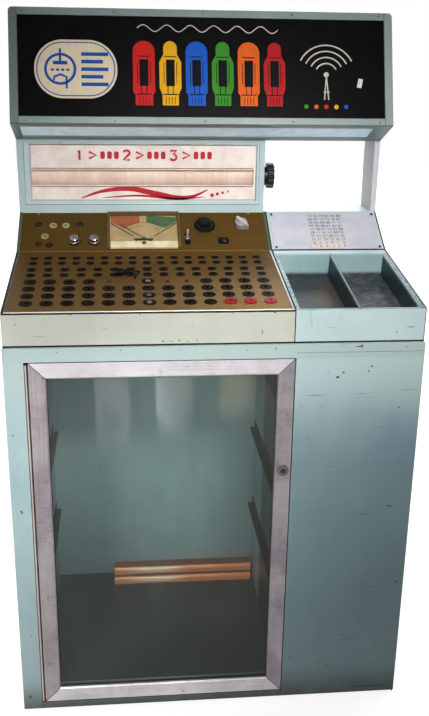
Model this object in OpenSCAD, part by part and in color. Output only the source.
// Floor-standing self-service tube tester: a steel cabinet with a glazed locker, a sloping tester
// desk, sorting bins, a display box with a rolling chart, and a lit sign header.
// The front faces -Y, +X is to the right, and the cabinet stands on Z = 0.

/* [Cabinet] */
// Width over the side panels
cab_w = 880; // [840:5:960]
// Depth from the front panels to the back panel
cab_d = 560; // [550:5:640]
// Height of the desk deck above the floor
cab_h = 892; // [860:1:940]
// Thickness of the sheet steel
sheet = 1.5; // [1.2:0.1:2]
// Height of the floor glides
glide_h = 6; // [4:1:10]
// Width of the stile on the hinge side
stile_w = 42; // [38:1:60]
// Height of the fold above the door
top_fold_h = 30; // [24:1:40]
// Height of the sill below the door
sill_h = 17; // [14:1:30]

/* [Locker] */
// Width of the door opening
opening_w = 563; // [520:1:580]
// Depth of the space behind the locker's back wall
locker_back = 55; // [20:5:100]
// Height of the locker floor above the base
locker_floor_h = 38; // [30:1:60]
// Height from one shelf runner to the next
runner_pitch = 232; // [200:1:240]
// Width that a runner stands out from its wall
runner_w = 14; // [10:1:20]
// Length of the copper-finished rails
rail_len = 380; // [300:5:420]
// Height of one copper-finished rail
rail_h = 30; // [20:1:36]
// Depth of a copper-finished rail
rail_d = 26; // [18:1:32]

/* [Door] */
// Width of a door frame member
member_w = 35; // [28:1:42]
// Depth of a door frame member
member_d = 22; // [18:1:24]
// Running gap round the door
door_gap = 2; // [1.5:0.1:3]
// Thickness of the glass
glass_t = 4; // [3:0.5:5]
// Radius of the hinge knuckles
knuckle_r = 3; // [2.6:0.1:3.2]
// Number of knuckles along the hinge
knuckles = 21; // [15:2:31]
// Radius of the lock's front rim
lock_r = 12.5; // [10:0.5:13]
// Height of the lock above the floor
lock_z = 603; // [560:1:660]
// Distance that the lock's rim stands proud of the door
lock_proud = 3.5; // [2:0.5:5]

/* [Desk] */
// Width of the tester desk
tester_w = 602; // [600:1:620]
// Height of the apron
apron_h = 71; // [60:1:90]
// Slope of the socket panel in degrees
low_slope = 8.7; // [6:0.1:11]
// Length of the socket panel up its slope
low_len = 338; // [336:1:350]
// Slope of the meter panel in degrees
high_slope = 32; // [28:0.5:36]
// Length of the meter panel up its slope
high_len = 138; // [136:1:150]
// Width of the case's rim beside the panels
rim_w = 7; // [5:0.5:9]
// Thickness of the control panels
panel_t = 2; // [1.5:0.1:2.5]
// Width of the case's lip in front of the socket panel
lip_w = 6; // [5:0.5:8]

/* [Sockets] */
// Sockets in a miniature row
mini_count = 17; // [15:1:17]
// Spacing of the miniature sockets
mini_pitch = 32.1; // [31:0.1:33]
// Sockets in a noval row
noval_count = 15; // [13:1:15]
// Spacing of the noval sockets
noval_pitch = 36.7; // [36:0.1:38]
// Sockets in an octal row
octal_count = 13; // [13:1:13]
// Spacing of the octal sockets
octal_pitch = 42.5; // [41:0.1:43.5]
// Radius of an octal socket's face
octal_r = 14; // [13:0.1:14.5]
// Radius of a noval socket's face
noval_r = 10.5; // [9.5:0.1:11]
// Radius of a miniature socket's face
mini_r = 9.5; // [8.5:0.1:10]

/* [Meter] */
// Width of the meter's front
meter_w = 174; // [160:1:176]
// Height of the meter's front up the slope
meter_h = 124; // [118:1:124]
// Length of the needle from its pivot
needle_len = 76; // [60:1:77]
// Angle of the resting needle above the panel's cross line
needle_rest = 40; // [35:1:60]

/* [Controls] */
// Radius of the selector knob's skirt
selector_r = 21; // [16:0.5:22]
// Radius of the pointer knob
pointer_r = 15; // [12:0.5:17]
// Radius of a push button's cap
button_r = 11; // [9:0.5:12]
// Travel of a push button
button_travel = 4; // [2:0.5:5]
// Travel of the slide button
slide_travel = 5; // [4:0.5:6]

/* [Bins] */
// Length of a bin down the slope
bin_len = 300; // [260:1:305]
// Depth of a bin
bin_depth = 52; // [40:1:60]
// Width of the rail between the bins
bin_divider = 4; // [4:0.5:6]

/* [Display] */
// Height of the display box
display_h = 173; // [150:1:190]
// Depth of the display box
display_d = 96.86; // [90:0.01:110]
// Width of the display box
display_w = 595.5; // [595:0.5:600]
// Height of the chart window
chart_h = 37; // [30:1:44]
// Radius of the chart drum
drum_r = 30; // [24:1:32]
// Radius of the chart knob
chart_knob_r = 31; // [24:1:34]
// Width of the post on the right
post_w = 13; // [10:1:20]

/* [Header] */
// Distance that the header's nose overhangs the display box
header_reach = 103.5; // [80:0.5:120]
// Height of the nose above the display box
soffit_rise = 44.5; // [30:0.5:60]
// Length of the sign face up its lean
face_len = 262; // [240:1:280]
// Angle that the sign face leans back
face_lean = 18.7; // [12:0.1:20]
// Width of a header end cap
cap_w = 19; // [14:1:24]
// Width of the lips above and below the sign
face_lip = 17; // [12:1:22]
// Radius of the header's upper corners
corner_r = 9; // [4:1:12]
// Radius of the fluorescent tube
tube_r = 19; // [13:1:19]

/* [Hidden] */

$fn = 64;
eps = 0.01;
over = 1;                    // how far a cutter runs past the face it cuts
seat_gap = 0.3;              // gap beside a dropped-in panel or socket
run_gap = 0.05;              // radial clearance of a running fit
lay_gap = 0.05;              // gap under a plate that lies on a sloping face

// Cabinet planes
x_left = -cab_w / 2;
x_right = cab_w / 2;
base_z = glide_h;
open_x0 = x_left + stile_w;
open_x1 = open_x0 + opening_w;
open_z0 = base_z + sill_h;
open_z1 = cab_h - top_fold_h;
glide_r = 14;
glide_inset = 40;
bushing_r = 9;
bushing_proud = 4;
bushing_hole_r = 4;
bushing_flange = 4;
bushing_in = 8;
bushing_x = -120;
bushing_drop = 52;                   // from the deck down to the bushing
bushing_z = cab_h - bushing_drop;
origin_y = (cab_d + bushing_proud - lock_proud) / 2;
slot_w = 60;
slot_h = 5;
slot_count = 8;
slot_pitch = 14;
slot_z = 120;

// Locker
stop_y = member_d + 1;               // the liner's front flange, which the door closes against
liner_y0 = stop_y + sheet;
liner_side = 9;                      // from the hinge jamb to the liner's left wall
liner_lock_side = 7;                 // from the lock jamb to the liner's right wall
liner_x0 = open_x0 + liner_side;     // inner faces of the liner
liner_x1 = open_x1 - liner_lock_side;
locker_d = cab_d - locker_back;      // from the front panels to the locker's back wall
locker_z = base_z + sheet + locker_floor_h;
runner_h = 22;
runner_levels = 3;
runner_first = 210;
runner_y0 = 45;
rail_lip = 7;
rail_back = 40;                      // from the rails to the locker's back wall
rail_end = 10;                       // from the rails to the liner's right wall

// Door
hinge_strip = 8.5;
door_x0 = open_x0 + hinge_strip;
door_x1 = open_x1 - door_gap;
door_z0 = open_z0 + door_gap;
door_z1 = open_z1 - door_gap;
glass_in = 5;                        // how far the glass enters the frame
gasket_t = 0.6;
gasket_show = 1.5;
groove_d = glass_in + gasket_t;
glass_y = 8;
member_bevel = 3;
hinge_x = open_x0 + 4;
hinge_pin_r = 1.5;
leaf_t = 1.2;
leaf_gap = 1;                        // between a leaf and the other leaf's knuckles
leaf_d = member_d - 3;
knuckle_gap = 0.4;
hinge_end = 3;
hinge_z0 = door_z0 + hinge_end;
hinge_z1 = door_z1 - hinge_end;
knuckle_pitch = (hinge_z1 - hinge_z0) / knuckles;
lock_inset = 16.5;                   // from the lock's axis to the door's edge
lock_x = door_x1 - lock_inset;
lock_body_r = 9.5;
lock_tail = 2;                       // how far the barrel passes the door's back
plug_r = 6;
plug_recess = 0.5;                   // the plug's face inside the barrel's rim
key_slot = [1.6, 8, 3];
cam_t = 2;
cam_w = 11;
cam_len = 27;
cam_boss_r = 7.5;
cam_gap = 0.5;
cam_y0 = liner_y0 + cam_gap;
cam_slot_gap = 2.5;

// Desk outline: [depth, height] of its folds
apron_set = cab_d - display_d - low_len * cos(low_slope) - high_len * cos(high_slope);
front_pt = [apron_set, cab_h + apron_h];
bend_pt = front_pt + low_len * [cos(low_slope), sin(low_slope)];
ledge_pt = bend_pt + high_len * [cos(high_slope), sin(high_slope)];
rear_pt = [cab_d, ledge_pt[1]];
ledge_y = ledge_pt[0];
ledge_z = ledge_pt[1];
x_split = x_left + tester_w;
panel_x0 = x_left + rim_w;
panel_x1 = x_split - rim_w;
panel_mid = (panel_x0 + panel_x1) / 2;
shelf_w = 9;                         // support that the panels lie on, inside the rim
top_lip = 3;

// Sockets
mini_rows = [268, 298.5];
noval_rows = [198, 229.5];
octal_rows = [47, 84.5, 122, 159.5];
blank_cols = [4, 5, 7, 8];           // places of the last octal row that hold no socket
jack_cols = [4, 7, 8];               // blank places that hold a tip jack instead
red_from = 10;                       // first red socket of the front octal row
flange_t = 2;
flange_w = 3;
socket_proud = 0.8;
red_proud = 3;
socket_depth = 16;
socket_step = 2;                     // the body behind the panel is this much smaller
octal_pins = 8;
key_r = 4;
key_depth = 9;
pin_hole_r = 1.3;
octal_pin_circle = 8.7;
jack_r = 4.5;
jack_proud = 1.5;
jack_depth = 12;
jack_bore_r = 2;
jack_shoulder = 1;

// Meter, placed by its middle on the meter panel
meter_x = panel_mid - 3;
meter_v = high_len / 2 + 3;
bezel_t = 5;
bezel_w = 3;
can_side = 4;                       // from the front's edge to the can
can_depth = 30;
can_wall = 2;
cover_h = 21;                        // opaque strip below the window
window_t = 1.5;
window_seat = 1;
dial_t = 1;
dial_z = -4;
pivot_v = meter_v - meter_h / 2 + 38;
pivot_r = 1;
needle_w = 1.6;
needle_t = 0.6;
needle_tail = 16;
hub_r = 4;
hub_t = 1;
dial_hole_gap = 2;
needle_z = -2.5;
movement_r = 17;
movement_h = 16;
movement_bore = 8;
pivot_in = 7;                        // how far the needle's pivot enters the movement

// Controls: [across from the panel's middle, up the slope]
selector_at = [145, 86];
pointer_at = [233, 84];
toggle_at = [101, 44];
slide_at = [187, 35];
button_at = [[-168, 36], [-121, 36]];
straightener_at = [[-219, 89], [-189, 89], [-237, 52]];
ringed_at = [[-253, 91], [-156, 91]];
tip_at = [[-252, 27], [-226, 23]];
shaft_r = 3;
shaft_in = 1;                        // how far a shaft enters its knob
shaft_end_play = 1;
button_stem_r = 4;
bushing_wall = 2.5;
nut_h = 2.5;
nut_r = 8;
knob_lift = 1.2;                     // gap between a knob and its nut
switch_r = 18;
switch_h = 24;
button_switch_r = 12;
selector_skirt = 3;
selector_hub_r = 13;
selector_bar = [30.5, 11, 13];       // grip bar across the skirt
selector_bar_x0 = -12.6;
knob_h = 15;
pointer_tip = 21;
pointer_tip_w = 4;
pointer_cap_r = 9;
pointer_cap_h = 2;
pointer_waist = 0.6;
pointer_turn = -40;
selector_turn = 160;
button_cap_h = 5;
button_dome = 4;
button_gap = 0.5;
toggle_ball_r = 3.5;
toggle_pivot_z = -2;
toggle_neck_r = 1.5;
toggle_len = 24;
toggle_tip_r = 2.8;
toggle_tilt = 13;
toggle_nut_h = 3;
toggle_body = [16, 28];
toggle_well = 2;                     // depth of the well under the lever's ball
toggle_pin_r = 1;
toggle_pin_len = 9;
toggle_pin_end = 0.3;
slide_size = [7, 5, 5];
slide_slot_gap = 0.5;
slide_body = [30, 13, 10];
slide_pocket = 1.3;
slide_base_gap = 1;
straightener_r = 8.5;
straightener_t = 2;
ringed_r = 12.5;
ringed_t = 3;
ringed_wall = 3;
ringed_floor = 1;
screw_r = 3;
screw_shank_r = 1.5;
screw_head_t = 1.6;
screw_side = 38;
screw_edge = 6;

// Grid cap clip and its lead on the socket panel, [across, up the slope, out of the panel]
clip_r = 7;
clip_lift = 1;
clip_at = [-208, 194];
clip_len = 30;
clip_cup_len = 14;
clip_cup_depth = 9;
clip_wall = 2;
clip_cone_len = 10;
clip_neck_r = 3;
lead_r = 1.6;
lead_sides = 8;
lead_hole_r = 3.5;
grommet_proud = 1;
lead_points = [[-168, 168, -6], [-168, 168, 0], [-167.5, 168, 6], [-165, 169, 11], [-161, 171.5, 14],
    [-157, 176, 15], [-155.5, 181, 14.5], [-156.5, 186, 13], [-159.5, 190.5, 11], [-164, 193.2, 9.3],
    [-169, 194, 8.3], [-174, 194, 8], [-178, 194, 8]];

// Inside the tester
chassis_h = 30;
chassis_d = 150;
chassis_back = 16;
chassis_side = 20;
core = [90, 34, 76];
coil = [58, 60, 50];
transformer_x = 40;
transformer_foot = 4;
transformer_ear = 8;                 // how far the mounting feet stand out

// Bin desk
tray_edge = 1;
tray_wall = 1.2;
bin_v0 = 5;
bin_left = 9;                        // from the tester's side to the left bin
bin_right = 15;                      // from the right bin to the cabinet's side
bin_x0 = x_split + bin_left;
bin_w = (x_right - bin_right - bin_x0 - bin_divider) / 2;
tray_end = 10;
plate_side = 6;
plate_right = 7;
plate_v0 = 4;
plate_v1 = 131;
plate_t = 1.5;
plate_screw_in = 6;

// Display box
display_x1 = x_left + display_w;
box_top_z = ledge_z + display_h;
case_stile_left = 16;
case_stile_right = 13.5;
case_rail = 18;
case_head = 8;
frame_left = 15;
frame_right = 7.5;
frame_foot = 10;
frame_head = 5;
frame_t = 6;
acrylic_t = 3;
chart_end = 5;                       // from the chart's slit to the frame on the right
acrylic_lap = 4;
chart_z = ledge_z + 82.5;
drum_clear = 7;                      // between the window panel and the drum
drum_y = ledge_y + frame_t + acrylic_t + drum_clear + drum_r;
drum_end = 14;
drum_wall = 2;
drum_shaft_r = 4;
bush_r = 7;
bush_flange_r = 11;
bush_flange_t = 3;
bush_proud = 2;
bush_boss = 11;
bush_floor = 1;
shaft_end_gap = 2;
knob_gap = 1;
collar_r = 24;
collar_w = 9;
disc_w = 16;
flutes = 14;
flute_r = 3.4;
flute_out = 1.1;
post_x0 = x_right - post_w;

// Header outline: [depth, height] of its folds
nose_pt = [ledge_y - header_reach, box_top_z + soffit_rise];
brow_pt = nose_pt + face_len * [sin(face_lean), cos(face_lean)];
heel_pt = [ledge_y, box_top_z];
crown_pt = [cab_d, brow_pt[1]];
tail_pt = [cab_d, box_top_z];
soffit_len = norm(nose_pt - heel_pt);
soffit_slope = atan2(soffit_rise, header_reach);
header_x0 = x_left + cap_w;
header_x1 = x_right - cap_w;
sign_t = 3;
sign_lap = 8;
cap_t = 3;
corner_steps = 12;
nose_return = 20;
heel_return = 24;
soffit_t = 2;
soffit_lap = 4;
soffit_end = 22;
gear_len = 700;
gear_w = 60;
gear_d = 25;
holder_t = 12;
tube_gap = 2;
lamp_drop = 130;                     // from the header's top to the lamp
ballast = [220, 40, 34];

// ---- Shape helpers ----

// Box between two opposite corners
module block(low, high) translate(low) cube(high - low);

// A [depth, height] outline drawn out along X
module along_x(x0, x1) translate([x0, 0, 0]) rotate([90, 0, 90]) linear_extrude(x1 - x0) children();

// An [x, height] outline drawn out along Y
module along_y(y0, y1) translate([0, y1, 0]) rotate([90, 0, 0]) linear_extrude(y1 - y0) children();

// Frames on the sloping faces: X across, Y up the slope, Z out of the face
module on_low() translate([0, front_pt[0], front_pt[1]]) rotate([low_slope, 0, 0]) children();
module on_high() translate([0, bend_pt[0], bend_pt[1]]) rotate([high_slope, 0, 0]) children();
module on_face() translate([0, nose_pt[0], nose_pt[1]]) rotate([90 - face_lean, 0, 0]) children();
// Frame on the header's underside: Y from the nose to the heel, Z into the header
module on_soffit() translate([0, nose_pt[0], nose_pt[1]]) rotate([-soffit_slope, 0, 0]) children();

// Point of a fold between edges that run at angles a and b, moved t inside
function fold(p, a, b, t) = p + t / cos((b - a) / 2) * [sin((a + b) / 2), -cos((a + b) / 2)];

// Point on the socket slope and on the meter slope, v up the slope and t inside
function low_at(v, t) = front_pt + v * [cos(low_slope), sin(low_slope)]
    + t * [sin(low_slope), -cos(low_slope)];
function high_at(v, t) = bend_pt + v * [cos(high_slope), sin(high_slope)]
    + t * [sin(high_slope), -cos(high_slope)];

// Desk outline set in by t, with its foot at height z
function desk_outline(t, z) = [
    [apron_set + t, z],
    fold(front_pt, 90, low_slope, t),
    fold(bend_pt, low_slope, high_slope, t),
    fold(ledge_pt, high_slope, 0, t),
    fold(rear_pt, 0, -90, t),
    [cab_d - t, z]
];

// Strip that follows both desk slopes between depths t0 and t1 under the surface
function slope_strip(v0, v1, t0, t1) = [
    low_at(v0, t0), fold(bend_pt, low_slope, high_slope, t0), high_at(v1, t0),
    high_at(v1, t1), fold(bend_pt, low_slope, high_slope, t1), low_at(v0, t1)
];

// Header outline set in by t
function header_outline(t) = [
    fold(heel_pt, 180, 180 - soffit_slope, t),
    fold(nose_pt, 180 - soffit_slope, 90 - face_lean, t),
    fold(brow_pt, 90 - face_lean, 0, t),
    fold(crown_pt, 0, -90, t),
    fold(tail_pt, -90, -180, t)
];

// Place on the socket panel of socket i in a row of n
function row_x(n, pitch, i) = panel_mid + (i - (n - 1) / 2) * pitch;
function is_blank(row, col) = row == len(octal_rows) - 1 && len(search(col, blank_cols)) > 0;
function is_red(row, col) = row == 0 && col >= red_from;

// ---- Lower cabinet ----

module side_panel_left() color("#94b3ad") {
    block([x_left, 0, base_z], [x_left + sheet, cab_d, cab_h - sheet]);
    block([x_left + sheet, 0, base_z], [open_x0, sheet, open_z1]);
    block([open_x0 - sheet, sheet, base_z + sheet], [open_x0, liner_y0, open_z1]);
}

module side_panel_right() color("#94b3ad")
    block([x_right - sheet, 0, base_z], [x_right, cab_d, cab_h - sheet]);

module back_panel() color("#87a49f") difference() {
    block([x_left + sheet, cab_d - sheet, base_z + sheet], [x_right - sheet, cab_d, cab_h - sheet]);
    for (side = [-1, 1], i = [0 : slot_count - 1])
        translate([side * cab_w / 4 - slot_w / 2, cab_d - sheet - over, slot_z + i * slot_pitch])
            cube([slot_w, sheet + 2 * over, slot_h]);
    translate([bushing_x, cab_d + over, bushing_z]) rotate([90, 0, 0])
        cylinder(r = bushing_r + run_gap, h = sheet + 2 * over);
}

module floor_pan() color("#7f9a95") {
    block([x_left + sheet, sheet, base_z], [x_right - sheet, cab_d, base_z + sheet]);
    block([open_x0, 0, base_z], [open_x1, sheet, open_z0]);
    block([open_x0, sheet, open_z0 - sheet], [open_x1, stop_y, open_z0]);
}

module top_deck() color("#94b3ad") {
    block([x_left, 0, cab_h - sheet], [x_right, cab_d, cab_h]);
    block([x_left + sheet, 0, open_z1], [x_right - sheet, sheet, cab_h - sheet]);
    block([open_x0, sheet, open_z1], [open_x1, stop_y, open_z1 + sheet]);
}

module front_panel_right() color("#94b3ad") {
    block([open_x1, 0, base_z], [x_right - sheet, sheet, open_z1]);
    block([open_x1, sheet, base_z + sheet], [open_x1 + sheet, liner_y0, open_z1]);
}

module glides() color("#33312e")
    for (x = [x_left + glide_inset, x_right - glide_inset], y = [glide_inset, cab_d - glide_inset])
        translate([x, y, 0]) cylinder(r = glide_r, h = glide_h);

// Bushing of the mains cable, with its bore open through the back panel
module cable_bushing() color("#2a2826")
    translate([bushing_x, cab_d, bushing_z]) rotate([-90, 0, 0]) difference() {
        union() {
            cylinder(r = bushing_r + bushing_flange, h = bushing_proud);
            translate([0, 0, -sheet - bushing_in]) cylinder(r = bushing_r, h = sheet + bushing_in + eps);
        }
        translate([0, 0, -sheet - bushing_in - over])
            cylinder(r = bushing_hole_r, h = sheet + bushing_in + bushing_proud + 2 * over);
    }

module locker_liner() color("#6f918d") difference() {
    union() {
        block([liner_x0 - sheet, stop_y, base_z + sheet], [liner_x0, locker_d, cab_h - sheet]);
        block([liner_x0 - sheet, locker_d, base_z + sheet],
            [liner_x1 + sheet, locker_d + sheet, cab_h - sheet]);
        block([liner_x1, stop_y, base_z + sheet], [liner_x1 + sheet, locker_d, cab_h - sheet]);
        block([open_x0, stop_y, base_z + sheet], [liner_x0 - sheet, liner_y0, cab_h - sheet]);
        block([liner_x1 + sheet, stop_y, base_z + sheet], [open_x1, liner_y0, cab_h - sheet]);
    }
    translate([liner_x1 - over, cam_y0 - cam_slot_gap / 2, lock_z - cam_len - cam_slot_gap])
        cube([sheet + 2 * over, cam_t + cam_slot_gap, cam_len + cam_w / 2 + 2 * cam_slot_gap]);
}

module locker_floor() color("#3c4343") {
    block([liner_x0, liner_y0, locker_z - sheet], [liner_x1, locker_d, locker_z]);
    block([liner_x0, liner_y0, base_z + sheet], [liner_x1, liner_y0 + sheet, locker_z - sheet]);
}

module shelf_runners() color("#3a4446")
    for (i = [0 : runner_levels - 1], side = [0, 1])
        translate([side == 0 ? liner_x0 : liner_x1, 0, locker_z + runner_first + i * runner_pitch])
            mirror([side, 0, 0]) {
                block([0, runner_y0, 0], [runner_w, locker_d, sheet]);
                block([0, runner_y0, sheet], [sheet, locker_d, runner_h]);
            }

// Two lipped channels, one on the other, open to the back
module copper_rails() color("#b9704a")
    for (i = [0, 1])
        translate([0, 0, locker_z + i * rail_h])
            along_x(liner_x1 - rail_end - rail_len, liner_x1 - rail_end)
                translate([locker_d - rail_back - rail_d, 0]) difference() {
                    square([rail_d, rail_h]);
                    translate([sheet, sheet]) square([rail_d - 2 * sheet, rail_h - 2 * sheet]);
                    translate([rail_d - sheet - eps, rail_lip])
                        square([sheet + 2 * eps, rail_h - 2 * rail_lip]);
                }

// ---- Door ----

// Frame member of outer length len along X, mitred at both ends, with its outer edge on Z = 0
module door_member(len) intersection() {
    along_x(0, len) difference() {
        polygon([[0, 0], [0, member_w - member_bevel], [member_bevel, member_w], [member_d, member_w],
            [member_d, 0]]);
        translate([glass_y - gasket_t, member_w - groove_d])
            square([glass_t + 2 * gasket_t, groove_d + over]);
    }
    along_y(-over, member_d + over)
        polygon([[0, 0], [len, 0], [len - member_w, member_w], [member_w, member_w]]);
}

module door_rails() color("#b9b6b4") {
    translate([door_x0, 0, door_z0]) door_member(door_x1 - door_x0);
    translate([door_x0, 0, door_z1]) mirror([0, 0, 1]) door_member(door_x1 - door_x0);
}

module door_stiles() color("#aaa6a6") {
    translate([door_x0, 0, door_z0]) mirror([1, 0, 0]) rotate([0, -90, 0]) door_member(door_z1 - door_z0);
    difference() {
        translate([door_x1, 0, door_z0]) rotate([0, -90, 0]) door_member(door_z1 - door_z0);
        lock_axis() translate([0, 0, -over]) cylinder(r = lock_body_r, h = member_d + 2 * over);
    }
}

// Corners of the glass opening grown by d all round
module glazing(d, y0, y1)
    block([door_x0 + member_w - d, y0, door_z0 + member_w - d],
        [door_x1 - member_w + d, y1, door_z1 - member_w + d]);

module door_glass() color("#cfe0e0", 0.35) glazing(glass_in, glass_y, glass_y + glass_t);

module door_gasket() color("#2b2a28") difference() {
    glazing(groove_d, glass_y - gasket_t, glass_y + glass_t + gasket_t);
    glazing(glass_in, glass_y, glass_y + glass_t);
    glazing(-gasket_show, glass_y - over, glass_y + glass_t + over);
}

// Knuckles and leaf of one hinge half: first is 0 or 1, side is -1 at the cabinet and 1 at the door
module hinge_half(first, side) {
    leaf_x = side < 0 ? open_x0 : door_x0 - leaf_t;
    block([leaf_x, knuckle_r + leaf_gap, hinge_z0], [leaf_x + leaf_t, leaf_d, hinge_z1]);
    for (i = [first : 2 : knuckles - 1])
        translate([0, 0, hinge_z0 + i * knuckle_pitch + knuckle_gap / 2]) {
            height = knuckle_pitch - knuckle_gap;
            translate([hinge_x, 0, 0]) cylinder(r = knuckle_r, h = height);
            block([min(leaf_x, hinge_x), 0, 0], [max(leaf_x + leaf_t, hinge_x), leaf_t, height]);
            block([leaf_x, 0, 0], [leaf_x + leaf_t, knuckle_r + leaf_gap, height]);
        }
}

module hinge_rod(r, spare)
    translate([hinge_x, 0, hinge_z0 - spare]) cylinder(r = r, h = hinge_z1 - hinge_z0 + 2 * spare);

// The pin is staked into the cabinet's knuckles
module hinge_leaf_cabinet() color("#8d8a86") {
    hinge_half(0, -1);
    hinge_rod(hinge_pin_r, 0);
}

module hinge_leaf_door() color("#9a9793") difference() {
    hinge_half(1, 1);
    hinge_rod(hinge_pin_r + run_gap, over);
}

// Frame on the lock's axis: Z runs from the door's front face to its back
module lock_axis() translate([lock_x, 0, lock_z]) rotate([-90, 0, 0]) children();

module lock_barrel() color("#8f8872") lock_axis() difference() {
    union() {
        translate([0, 0, -lock_proud]) cylinder(r = lock_r, h = lock_proud);
        cylinder(r = lock_body_r, h = member_d + lock_tail);
    }
    translate([0, 0, -lock_proud - over])
        cylinder(r = plug_r + run_gap, h = member_d + lock_tail + lock_proud + 2 * over);
}

// The plug turns in the barrel and carries the cam, which hangs down when it is unlocked
module lock_plug() color("#77715f") lock_axis() difference() {
    union() {
        translate([0, 0, plug_recess - lock_proud])
            cylinder(r = plug_r, h = cam_y0 + cam_t + lock_proud - plug_recess);
        translate([0, 0, cam_y0]) linear_extrude(cam_t) {
            circle(r = cam_boss_r);
            translate([-cam_w / 2, 0]) square([cam_w, cam_len]);
        }
    }
    translate([-key_slot[0] / 2, -key_slot[1] / 2, -lock_proud]) cube(key_slot);
}

// ---- Desk ----

// Sheet shell of a desk between two planes, open below
module desk_shell(x0, x1) difference() {
    along_x(x0, x1) polygon(desk_outline(0, cab_h));
    along_x(x0 + sheet, x1 - sheet) polygon(desk_outline(sheet, cab_h - over));
}

module tester_case() color("#b9bfae") {
    difference() {
        desk_shell(x_left, x_split);
        along_x(panel_x0, panel_x1) polygon(slope_strip(lip_w, high_len - top_lip, -over, sheet + over));
    }
    for (x = [x_left + sheet, x_split - sheet - rim_w - shelf_w])
        along_x(x, x + rim_w + shelf_w)
            polygon(slope_strip(lip_w, high_len - top_lip, panel_t + lay_gap, panel_t + sheet));
}

// Blank plate on a slope, from v0 to v1 between the case's rims
module panel_plate(v0, v1)
    block([panel_x0 + seat_gap, v0, -panel_t], [panel_x1 - seat_gap, v1, 0]);

module panel_hole(at, r) translate([at[0], at[1], -panel_t - over]) cylinder(r = r, h = panel_t + 2 * over);

module socket_panel() color("#6e5322") on_low() difference() {
    panel_plate(lip_w + seat_gap, low_len);
    mini_spots() socket_hole(mini_r);
    noval_spots() socket_hole(noval_r);
    octal_spots(false) socket_hole(octal_r);
    octal_spots(true) socket_hole(octal_r);
    blank_spots() socket_hole(jack_r);
    panel_hole([lead_points[0][0], lead_points[0][1]], lead_hole_r);
}

module socket_hole(r) panel_hole([0, 0], r + seat_gap);

module meter_panel() color("#6e5322") on_high() difference() {
    panel_plate(0, high_len - top_lip - seat_gap);
    translate([meter_x, meter_v, 0]) can_box(seat_gap, -panel_t - over, over);
    for (x = [panel_x0 + screw_side, panel_x1 - screw_side])
        panel_hole([x, high_len - top_lip - screw_edge], screw_shank_r);
    panel_hole(panel_spot(selector_at), shaft_r + bushing_wall);
    panel_hole(panel_spot(pointer_at), shaft_r + bushing_wall);
    panel_hole(panel_spot(toggle_at), toggle_ball_r + bushing_wall);
    for (at = button_at) panel_hole(panel_spot(at), button_stem_r + bushing_wall);
    for (at = tip_at) panel_hole(panel_spot(at), jack_r + seat_gap);
    translate(concat(panel_spot(slide_at), [0])) slide_slot(-panel_t - over, over);
}

// Place on the meter panel, [across from the middle, up the slope] as [x, v]
function panel_spot(at) = [panel_mid + at[0], at[1]];

module mini_spots()
    for (v = mini_rows, i = [0 : mini_count - 1])
        translate([row_x(mini_count, mini_pitch, i), v, 0]) children();

module noval_spots()
    for (v = noval_rows, i = [0 : noval_count - 1])
        translate([row_x(noval_count, noval_pitch, i), v, 0]) children();

module octal_spots(red)
    for (row = [0 : len(octal_rows) - 1], col = [0 : octal_count - 1])
        if (!is_blank(row, col) && is_red(row, col) == red)
            translate([row_x(octal_count, octal_pitch, col), octal_rows[row], 0]) children();

module blank_spots()
    for (col = jack_cols)
        translate([row_x(octal_count, octal_pitch, col), octal_rows[len(octal_rows) - 1], 0]) children();

// Moulded socket seated under the panel by its flange, with its face through the panel
module tube_socket(r, proud) {
    translate([0, 0, -panel_t - flange_t]) cylinder(r = r, h = panel_t + flange_t + proud);
    translate([0, 0, -panel_t - flange_t]) cylinder(r = r + flange_w, h = flange_t);
    translate([0, 0, -socket_depth]) cylinder(r = r - socket_step, h = socket_depth);
}

module octal_socket(proud) difference() {
    tube_socket(octal_r, proud);
    translate([0, 0, proud - key_depth]) {
        cylinder(r = key_r, h = key_depth + over, $fn = 12);
        for (i = [0 : octal_pins - 1])
            rotate((i + 0.5) * 360 / octal_pins) translate([octal_pin_circle, 0, 0])
                cylinder(r = pin_hole_r, h = key_depth + over, $fn = 6);
    }
}

module sockets_octal() color("#26211d") on_low() octal_spots(false) octal_socket(socket_proud);

module sockets_red() color("#b3262a") on_low() octal_spots(true) octal_socket(red_proud);

// Nine-pin noval and seven-pin miniature sockets
module sockets_small() color("#2b2521") on_low() {
    noval_spots() tube_socket(noval_r, socket_proud);
    mini_spots() tube_socket(mini_r, socket_proud);
}

// Discs that true up bent pins, and the two larger ringed ones
module pin_straighteners() color("#b8ae86") on_high() {
    for (at = straightener_at)
        translate(panel_spot(at)) cylinder(r = straightener_r, h = straightener_t);
    for (at = ringed_at)
        translate(panel_spot(at)) difference() {
            cylinder(r = ringed_r, h = ringed_t);
            translate([0, 0, ringed_floor]) cylinder(r = ringed_r - ringed_wall, h = ringed_t);
        }
}

module tip_jack() difference() {
    translate([0, 0, -jack_depth]) cylinder(r = jack_r, h = jack_depth + jack_proud);
    translate([0, 0, -jack_depth / 2]) cylinder(r = jack_bore_r, h = jack_depth, $fn = 12);
}

module tip_jacks() color("#5a2a22") {
    on_low() blank_spots() tip_jack_seated();
    on_high() for (at = tip_at) translate(panel_spot(at)) tip_jack_seated();
}

// Tip jack with the shoulder that rests on the panel
module tip_jack_seated() {
    tip_jack();
    difference() {
        cylinder(r = jack_r + jack_shoulder, h = jack_proud);
        translate([0, 0, -over]) cylinder(r = jack_r - eps, h = jack_proud + 2 * over);
    }
}

// ---- Controls ----

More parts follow.
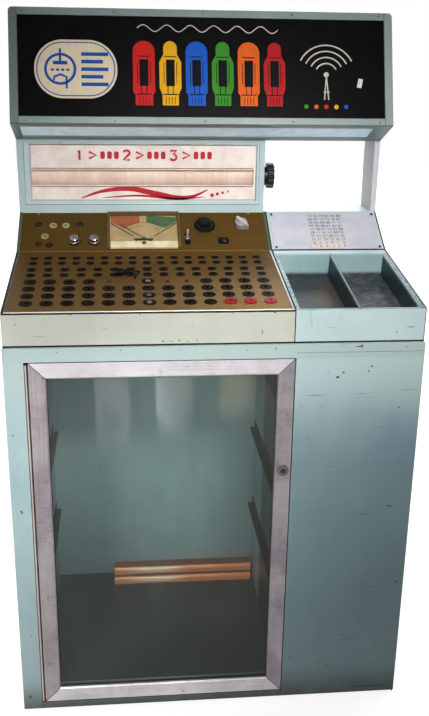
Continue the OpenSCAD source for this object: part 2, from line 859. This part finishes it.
module button(at) on_high() translate(panel_spot(at)) {
    lift = nut_h + button_travel + button_gap;
    translate([0, 0, -switch_h / 2]) cylinder(r = button_stem_r, h = switch_h / 2 + lift + eps);
    translate([0, 0, lift]) rotate_extrude() {
        square([button_r, button_cap_h]);
        translate([0, button_cap_h]) intersection() {
            translate([0, dome_drop(button_r, button_dome)]) circle(r = dome_radius(button_r, button_dome));
            square([button_r, button_dome]);
        }
    }
}

// Sphere that a dome of radius r and height h is cut from, and its centre's height below the dome's base
function dome_radius(r, h) = (r * r + h * h) / (2 * h);
function dome_drop(r, h) = h - dome_radius(r, h);

module button_left() color("#b5b3b6") button(button_at[0]);

module button_right() color("#b5b3b6") button(button_at[1]);

module toggle_lever() color("#c4beb2") on_high()
    translate(concat(panel_spot(toggle_at), [toggle_pivot_z])) rotate([-toggle_tilt, 0, 0]) {
        sphere(r = toggle_ball_r);
        toggle_pin(0, 0);
        cylinder(r1 = toggle_neck_r, r2 = toggle_tip_r, h = toggle_len);
        translate([0, 0, toggle_len]) sphere(r = toggle_tip_r);
    }

// Cross pin that the lever tilts on, grown by d round it and by e at each end
module toggle_pin(d, e) rotate([0, 90, 0])
    translate([0, 0, -toggle_pin_len / 2 - e]) cylinder(r = toggle_pin_r + d, h = toggle_pin_len + 2 * e);

// Shaft of a knob, from its switch to the knob's bore
module knob_shaft(top) translate([0, 0, -switch_h / 2]) cylinder(r = shaft_r, h = switch_h / 2 + top);

module selector_knob() color("#211f1e") on_high() translate(panel_spot(selector_at)) rotate(selector_turn) {
    lift = nut_h + knob_lift;
    knob_shaft(lift + shaft_in);
    translate([0, 0, lift]) cylinder(r = selector_r, h = selector_skirt);
    translate([0, 0, lift + selector_skirt]) {
        cylinder(r = selector_hub_r, h = knob_h - selector_skirt);
        translate([selector_bar_x0, -selector_bar[1] / 2, 0]) cube(selector_bar);
    }
}

module pointer_knob() color("#a9a4a6") on_high() translate(panel_spot(pointer_at)) rotate(pointer_turn) {
    lift = nut_h + knob_lift;
    knob_shaft(lift + shaft_in);
    side = pointer_r - pointer_waist;
    translate([0, 0, lift]) linear_extrude(knob_h - pointer_cap_h) {
        circle(r = pointer_r);
        polygon([[0, -side], [pointer_tip, -pointer_tip_w / 2], [pointer_tip, pointer_tip_w / 2], [0, side]]);
    }
    translate([0, 0, lift + knob_h - pointer_cap_h]) cylinder(r = pointer_cap_r, h = pointer_cap_h);
}

// At rest the button stands at the left end of its slot
module slide_button() color("#1f1e1d") on_high()
    translate(concat(panel_spot(slide_at), [-panel_t - slide_base_gap]))
        translate([-(slide_size[0] + slide_travel) / 2, -slide_size[1] / 2, 0])
            cube([slide_size[0], slide_size[1], slide_size[2] + panel_t]);

// Opening for the slide button's whole travel, between two heights over the panel
module slide_slot(z0, z1) {
    across = slide_size[0] + slide_travel + 2 * slide_slot_gap;
    along = slide_size[1] + 2 * slide_slot_gap;
    translate([-across / 2, -along / 2, z0]) cube([across, along, z1 - z0]);
}

// Switch and potentiometer bodies behind the meter panel
module switch_bodies() color("#5b5348") on_high() {
    for (at = [selector_at, pointer_at]) switch_can(at, switch_r, shaft_r);
    for (at = button_at) switch_can(at, button_switch_r, button_stem_r);
    translate(concat(panel_spot(toggle_at), [-panel_t])) difference() {
        translate([-toggle_body[0] / 2, -toggle_body[1] / 2, -switch_h])
            cube([toggle_body[0], toggle_body[1], switch_h]);
        translate([0, 0, -toggle_ball_r - toggle_well])
            cylinder(r = toggle_ball_r + run_gap, h = toggle_ball_r + toggle_well + over);
        translate([0, 0, panel_t + toggle_pivot_z]) toggle_pin(run_gap, toggle_pin_end);
    }
    translate(concat(panel_spot(slide_at), [-panel_t])) difference() {
        translate([-slide_body[0] / 2, -slide_body[1] / 2, -slide_body[2]]) cube(slide_body);
        slide_slot(-slide_pocket, over);
    }
}

// Round switch body whose shaft bore stops inside it
module switch_can(at, r, bore) translate(concat(panel_spot(at), [-panel_t])) difference() {
    mirror([0, 0, 1]) cylinder(r = r, h = switch_h);
    translate([0, 0, panel_t - switch_h / 2 - shaft_end_play - button_travel])
        cylinder(r = bore + run_gap, h = switch_h);
}

// Bushings and nuts of the controls, the cap lead's grommet, and the panels' pan-headed screws
module panel_fasteners() color("#a9a59c") {
    on_high() {
        for (at = [selector_at, pointer_at]) shaft_bushing(at, shaft_r, nut_h);
        for (at = button_at) shaft_bushing(at, button_stem_r, nut_h);
        difference() {
            shaft_bushing(toggle_at, toggle_ball_r, toggle_nut_h);
            translate(concat(panel_spot(toggle_at), [toggle_pivot_z])) toggle_pin(run_gap, toggle_pin_end);
        }
        for (x = [panel_x0 + screw_side, panel_x1 - screw_side])
            translate([x, high_len - top_lip - screw_edge, 0]) screw(panel_t);
        plate_screw_spots() translate([0, 0, plate_t]) screw(plate_t + sheet);
    }
    on_low() translate([lead_points[0][0], lead_points[0][1], -panel_t]) difference() {
        cylinder(r = lead_hole_r, h = panel_t + grommet_proud);
        translate([0, 0, -over]) cylinder(r = lead_r + run_gap, h = panel_t + grommet_proud + 2 * over);
    }
}

module shaft_bushing(at, bore, height) translate(panel_spot(at)) difference() {
    union() {
        translate([0, 0, -panel_t]) cylinder(r = bore + bushing_wall, h = panel_t + eps);
        cylinder(r = nut_r, h = height, $fn = 6);
    }
    translate([0, 0, -panel_t - over]) cylinder(r = bore + run_gap, h = panel_t + height + 2 * over);
}

module screw(through) {
    cylinder(r = screw_r, h = screw_head_t);
    translate([0, 0, -through]) cylinder(r = screw_shank_r, h = through + eps);
}

// Rubber-booted clip for a tube's top cap, lying on the sockets
module cap_clip() color("#1b1a1a")
    on_low() translate([clip_at[0], clip_at[1], clip_lift + clip_r]) rotate([0, 90, 0]) {
        difference() {
            cylinder(r = clip_r, h = clip_cup_len);
            translate([0, 0, -over]) cylinder(r = clip_r - clip_wall, h = clip_cup_depth + over);
        }
        translate([0, 0, clip_cup_len]) cylinder(r1 = clip_r, r2 = clip_neck_r, h = clip_cone_len);
        translate([0, 0, clip_cup_len + clip_cone_len])
            cylinder(r = clip_neck_r, h = clip_len - clip_cup_len - clip_cone_len);
    }

// Direction of the lead at point i, and a ring of its surface round that point
function lead_dir(p, i) = let (d = p[min(i + 1, len(p) - 1)] - p[max(i - 1, 0)]) d / norm(d);
function lead_ring(p, i) = let (
        d = lead_dir(p, i),
        side = let (s = cross(d, [1, 1, -1])) s / norm(s),
        up = cross(side, d)
    ) [for (a = [0 : 360 / lead_sides : 359]) p[i] + lead_r * (cos(a) * side + sin(a) * up)];

module cap_lead() color("#191818") on_low() {
    n = len(lead_points);
    s = lead_sides;
    polyhedron(
        points = [for (i = [0 : n - 1]) each lead_ring(lead_points, i)],
        faces = concat(
            [[for (k = [0 : s - 1]) k]],
            [for (i = [0 : n - 2], k = [0 : s - 1]) each [
                [i * s + k, (i + 1) * s + k, (i + 1) * s + (k + 1) % s],
                [i * s + k, (i + 1) * s + (k + 1) % s, i * s + (k + 1) % s]
            ]],
            [[for (k = [s - 1 : -1 : 0]) (n - 1) * s + k]]
        )
    );
}

// ---- Meter ----

// Box of the meter's can, grown by d, between two heights over the panel
module can_box(d, z0, z1)
    block([-meter_w / 2 + can_side - d, -meter_h / 2 + can_side - d, z0],
        [meter_w / 2 - can_side + d, meter_h / 2 - can_side + d, z1]);

// Box of the window opening, grown by d
module window_box(d, z0, z1)
    block([-meter_w / 2 + bezel_w - d, -meter_h / 2 + cover_h - d, z0],
        [meter_w / 2 - bezel_w + d, meter_h / 2 - bezel_w + d, z1]);

module meter_case() color("#d8cda9") on_high() translate([meter_x, meter_v, 0]) difference() {
    union() {
        block([-meter_w / 2, -meter_h / 2, 0], [meter_w / 2, meter_h / 2, bezel_t]);
        can_box(0, -can_depth, eps);
    }
    can_box(-can_wall, -can_depth + can_wall, bezel_t - window_t - window_seat);
    window_box(0, window_t, bezel_t - window_t);
    window_box(window_seat, bezel_t - window_t, bezel_t + over);
}

module meter_dial() color("#d9cfae") on_high() difference() {
    translate([meter_x, meter_v, 0]) can_box(-can_wall, dial_z - dial_t, dial_z);
    translate([meter_x, pivot_v, dial_z - dial_t - over])
        cylinder(r = hub_r + dial_hole_gap, h = dial_t + 2 * over);
}

module meter_movement() color("#4a4744")
    on_high() translate([meter_x, pivot_v, can_wall - can_depth]) difference() {
        cylinder(r = movement_r, h = movement_h);
        translate([0, 0, movement_h - movement_bore])
            cylinder(r = pivot_r + run_gap, h = movement_bore + over);
    }

module meter_needle() color("#1c1b1a") on_high() translate([meter_x, pivot_v, 0]) {
    pivot_z = can_wall - can_depth + movement_h - pivot_in;
    translate([0, 0, pivot_z]) cylinder(r = pivot_r, h = needle_z - pivot_z);
    translate([0, 0, needle_z - hub_t]) cylinder(r = hub_r, h = hub_t + needle_t);
    rotate(180 - needle_rest) translate([-needle_tail, -needle_w / 2, needle_z])
        cube([needle_tail + needle_len, needle_w, needle_t]);
}

module meter_window() color("#e6ecec", 0.3) on_high() translate([meter_x, meter_v, 0])
    window_box(window_seat, bezel_t - window_t, bezel_t);

// ---- Inside the tester ----

module tester_chassis() color("#8f9496") translate([0, 0, cab_h]) {
    x0 = x_left + sheet + chassis_side;
    x1 = x_split - sheet - chassis_side;
    y1 = cab_d - sheet - chassis_back;
    y0 = y1 - chassis_d;
    along_x(x0, x1) difference() {
        translate([y0, 0]) square([chassis_d, chassis_h]);
        translate([y0 + sheet, -over]) square([chassis_d - 2 * sheet, chassis_h - sheet + over]);
    }
}

module power_transformer() color("#3b3a3d")
    translate([panel_mid + transformer_x, cab_d - sheet - chassis_back - chassis_d / 2, cab_h + chassis_h]) {
        translate([-core[0] / 2, -core[1] / 2, 0]) cube(core);
        translate([-coil[0] / 2, -coil[1] / 2, (core[2] - coil[2]) / 2]) cube(coil);
        translate([-core[0] / 2 - transformer_ear, -core[1] / 2, 0])
            cube([core[0] + 2 * transformer_ear, core[1], transformer_foot]);
    }

// ---- Bin desk ----

plate_x0 = x_split + plate_side;
plate_x1 = x_right - plate_right;
tray_x0 = x_split + tray_edge;
tray_x1 = x_right - tray_edge;

module bin_case() color("#a9c4bf") difference() {
    desk_shell(x_split, x_right);
    on_low() bin_boxes(tray_wall + seat_gap, -sheet - 2 * over, over);
    on_high() plate_screw_holes(-sheet - over, over);
}

// The two bin pockets grown by d, between two heights over the slope
module bin_boxes(d, z0, z1)
    for (i = [0, 1])
        block([bin_x0 + i * (bin_w + bin_divider) - d, bin_v0 - d, z0],
            [bin_x0 + i * (bin_w + bin_divider) + bin_w + d, bin_v0 + bin_len + d, z1]);

module plate_screw_spots()
    for (x = [plate_x0 + plate_screw_in, plate_x1 - plate_screw_in],
            v = [plate_v0 + plate_screw_in, plate_v1 - plate_screw_in])
        translate([x, v, 0]) children();

module plate_screw_holes(z0, z1)
    plate_screw_spots() translate([0, 0, z0]) cylinder(r = screw_shank_r, h = z1 - z0);

module bin_tray() color("#8fb0ab") on_low() difference() {
    union() {
        block([tray_x0, tray_edge, lay_gap], [tray_x1, bin_v0 + bin_len + tray_end, tray_wall]);
        bin_boxes(tray_wall, -bin_depth, tray_wall);
    }
    bin_boxes(0, -bin_depth + tray_wall, tray_wall + over);
}

module index_plate() color("#c6c2cc") on_high() difference() {
    block([plate_x0, plate_v0, lay_gap], [plate_x1, plate_v1, plate_t]);
    plate_screw_holes(-over, plate_t + over);
}

// ---- Display box ----

module display_case() color("#a3bfba") difference() {
    block([x_left, ledge_y, ledge_z], [display_x1, cab_d, box_top_z]);
    block([x_left + sheet, ledge_y + sheet, ledge_z + sheet],
        [display_x1 - sheet, cab_d - sheet, box_top_z - sheet]);
    display_hole(0, ledge_y - over, ledge_y + sheet + over);
    translate([display_x1 - sheet - over, drum_y, chart_z]) rotate([0, 90, 0])
        cylinder(r = bush_r + run_gap, h = sheet + 2 * over);
}

// Open-ended box section between the bin desk and the header
module right_post() color("#c3b9c0") difference() {
    block([post_x0, ledge_y, ledge_z], [x_right, cab_d, box_top_z]);
    block([post_x0 + sheet, ledge_y + sheet, ledge_z - over],
        [x_right - sheet, cab_d - sheet, box_top_z + over]);
}

// Front opening of the display case, set in by d
module display_hole(d, y0, y1)
    block([x_left + case_stile_left + d, y0, ledge_z + case_rail + d],
        [display_x1 - case_stile_right - d, y1, box_top_z - case_head - d]);

// Window opening of the front frame, grown by d
module display_sight(d, y0, y1)
    block([x_left + case_stile_left + frame_left - d, y0, ledge_z + case_rail + frame_foot - d],
        [display_x1 - case_stile_right - frame_right + d, y1, box_top_z - case_head - frame_head + d]);

module display_frame() color("#b7cbc7") difference() {
    display_hole(seat_gap, ledge_y, ledge_y + frame_t);
    hull() {
        display_sight(frame_head / 2, ledge_y - eps, ledge_y);
        display_sight(0, ledge_y + frame_t, ledge_y + frame_t + eps);
    }
}

// Translucent panel with the open slit that the chart shows through
module display_panel() color("#efe7dc", 0.8) difference() {
    display_sight(acrylic_lap, ledge_y + frame_t, ledge_y + frame_t + acrylic_t);
    block([x_left + case_stile_left + frame_left, ledge_y, chart_z - chart_h / 2],
        [display_x1 - case_stile_right - frame_right - chart_end, drum_y - drum_r, chart_z + chart_h / 2]);
}

// Frame on the drum's axis: Z runs along +X from the left side panel
module drum_axis() translate([x_left + sheet, drum_y, chart_z]) rotate([0, 90, 0]) children();

module chart_drum() color("#d9b9ab") {
    inner = display_w - 2 * sheet;
    length = inner - 2 * drum_end;
    drum_axis() {
        difference() {
            translate([0, 0, drum_end]) cylinder(r = drum_r, h = length);
            translate([0, 0, drum_end + drum_wall])
                cylinder(r = drum_r - drum_wall, h = length - 2 * drum_wall);
        }
        translate([0, 0, shaft_end_gap]) cylinder(r = drum_shaft_r, h = drum_end + drum_wall - shaft_end_gap);
        translate([0, 0, drum_end + length - drum_wall])
            cylinder(r = drum_shaft_r, h = drum_wall + drum_end + sheet + bush_proud + knob_gap + collar_w);
    }
}

module drum_bushes() color("#a98a4a") {
    inner = display_w - 2 * sheet;
    drum_axis() difference() {
        union() {
            cylinder(r = bush_r, h = bush_boss);
            cylinder(r = bush_flange_r, h = bush_flange_t);
            translate([0, 0, inner - bush_flange_t]) cylinder(r = bush_flange_r, h = bush_flange_t);
            translate([0, 0, inner - bush_flange_t])
                cylinder(r = bush_r, h = bush_flange_t + sheet + bush_proud);
        }
        translate([0, 0, bush_floor])
            cylinder(r = drum_shaft_r + run_gap, h = inner + sheet + bush_proud + over);
    }
}

module chart_knob() color("#232120")
    translate([display_x1 + bush_proud + knob_gap, drum_y, chart_z]) rotate([0, 90, 0]) difference() {
        union() {
            cylinder(r = collar_r, h = collar_w + eps);
            translate([0, 0, collar_w]) cylinder(r = chart_knob_r, h = disc_w);
        }
        for (i = [0 : flutes - 1])
            rotate(i * 360 / flutes) translate([chart_knob_r + flute_out, 0, collar_w])
                cylinder(r = flute_r, h = disc_w + over);
        translate([0, 0, -over]) cylinder(r = drum_shaft_r + run_gap, h = collar_w + over);
    }

// ---- Header ----

// Points of an arc of radius r round a centre, in equal steps
function arc(centre, r, from, to) =
    [for (i = [0 : corner_steps]) centre + r * [cos(from + (to - from) * i / corner_steps),
        sin(from + (to - from) * i / corner_steps)]];

// Front view of the header with its rounded upper corners, set in by t
module header_front(t) {
    foot = box_top_z - over;
    centre_z = brow_pt[1] - corner_r;
    polygon(concat(
        [[x_left + t, foot], [x_right - t, foot]],
        arc([x_right - corner_r, centre_z], corner_r - t, 0, 90),
        arc([x_left + corner_r, centre_z], corner_r - t, 90, 180)
    ));
}

// Solid of the header's whole form, set in by t
module header_form(t) intersection() {
    along_x(x_left, x_right) polygon(header_outline(t));
    along_y(nose_pt[0] - over, cab_d + over) header_front(t);
}

// Shells that close the header at both ends
module header_caps() color("#7f9a98") difference() {
    header_form(0);
    header_form(cap_t);
    block([header_x0, nose_pt[0] - over, box_top_z - over], [header_x1, cab_d + over, brow_pt[1] + over]);
}

// Top, back and bottom sheets with the lips round the sign and the soffit
module header_shell() color("#86a3a0") difference() {
    along_x(header_x0, header_x1) polygon(header_outline(0));
    along_x(header_x0 - over, header_x1 + over) polygon(header_outline(sheet));
    on_face() block([header_x0 - over, face_lip, -sheet - over],
        [header_x1 + over, face_len - face_lip, over]);
    on_soffit() soffit_box(0, -over, sheet + over);
}

// Opening of the soffit grown by d, between two depths in the header
module soffit_box(d, z0, z1)
    block([header_x0, nose_return - d, z0], [header_x1 - soffit_end + d, soffit_len - heel_return + d, z1]);

module sign_panel() color("#15151a") on_face()
    block([header_x0, face_lip - sign_lap, -sheet - sign_t],
        [header_x1, face_len - face_lip + sign_lap, -sheet - lay_gap]);

module soffit_panel() color("#9fb3b8") on_soffit() soffit_box(soffit_lap, sheet + lay_gap, sheet + soffit_t);

// Fluorescent tube between its holders, on a folded gear channel, with the ballast below it
module header_lamp() color("#e8e8e2") {
    back = cab_d - sheet;
    lamp_y = back - gear_d - tube_gap - tube_r;
    lamp_z = brow_pt[1] - lamp_drop;
    difference() {
        block([-gear_len / 2, back - gear_d, lamp_z - gear_w / 2], [gear_len / 2, back, lamp_z + gear_w / 2]);
        block([-gear_len / 2 - over, back - gear_d + sheet, lamp_z - gear_w / 2 + sheet],
            [gear_len / 2 + over, back + over, lamp_z + gear_w / 2 - sheet]);
    }
    for (side = [0, 1]) mirror([side, 0, 0])
        block([gear_len / 2 - holder_t, lamp_y - tube_r, lamp_z - tube_r],
            [gear_len / 2, back - gear_d, lamp_z + tube_r]);
    translate([holder_t - gear_len / 2, lamp_y, lamp_z]) rotate([0, 90, 0])
        cylinder(r = tube_r, h = gear_len - 2 * holder_t);
    block([-ballast[0] / 2, back - ballast[1], lamp_z - gear_w / 2 - ballast[2]],
        [ballast[0] / 2, back, lamp_z - gear_w / 2]);
}

// ---- Assembly ----

module place() translate([0, -origin_y, 0]) children();

place() side_panel_left();
place() side_panel_right();
place() back_panel();
place() floor_pan();
place() top_deck();
place() front_panel_right();
place() glides();
place() cable_bushing();
place() locker_liner();
place() locker_floor();
place() shelf_runners();
place() copper_rails();
place() door_stiles();
place() door_rails();
place() door_glass();
place() door_gasket();
place() hinge_leaf_cabinet();
place() hinge_leaf_door();
place() lock_barrel();
place() lock_plug();
place() tester_case();
place() meter_panel();
place() socket_panel();
place() sockets_octal();
place() sockets_small();
place() sockets_red();
place() pin_straighteners();
place() tip_jacks();
place() button_left();
place() button_right();
place() toggle_lever();
place() selector_knob();
place() pointer_knob();
place() slide_button();
place() switch_bodies();
place() panel_fasteners();
place() cap_clip();
place() cap_lead();
place() meter_case();
place() meter_dial();
place() meter_movement();
place() meter_needle();
place() meter_window();
place() tester_chassis();
place() power_transformer();
place() bin_case();
place() bin_tray();
place() index_plate();
place() display_case();
place() right_post();
place() display_frame();
place() display_panel();
place() chart_drum();
place() drum_bushes();
place() chart_knob();
place() header_caps();
place() header_shell();
place() sign_panel();
place() soffit_panel();
place() header_lamp();
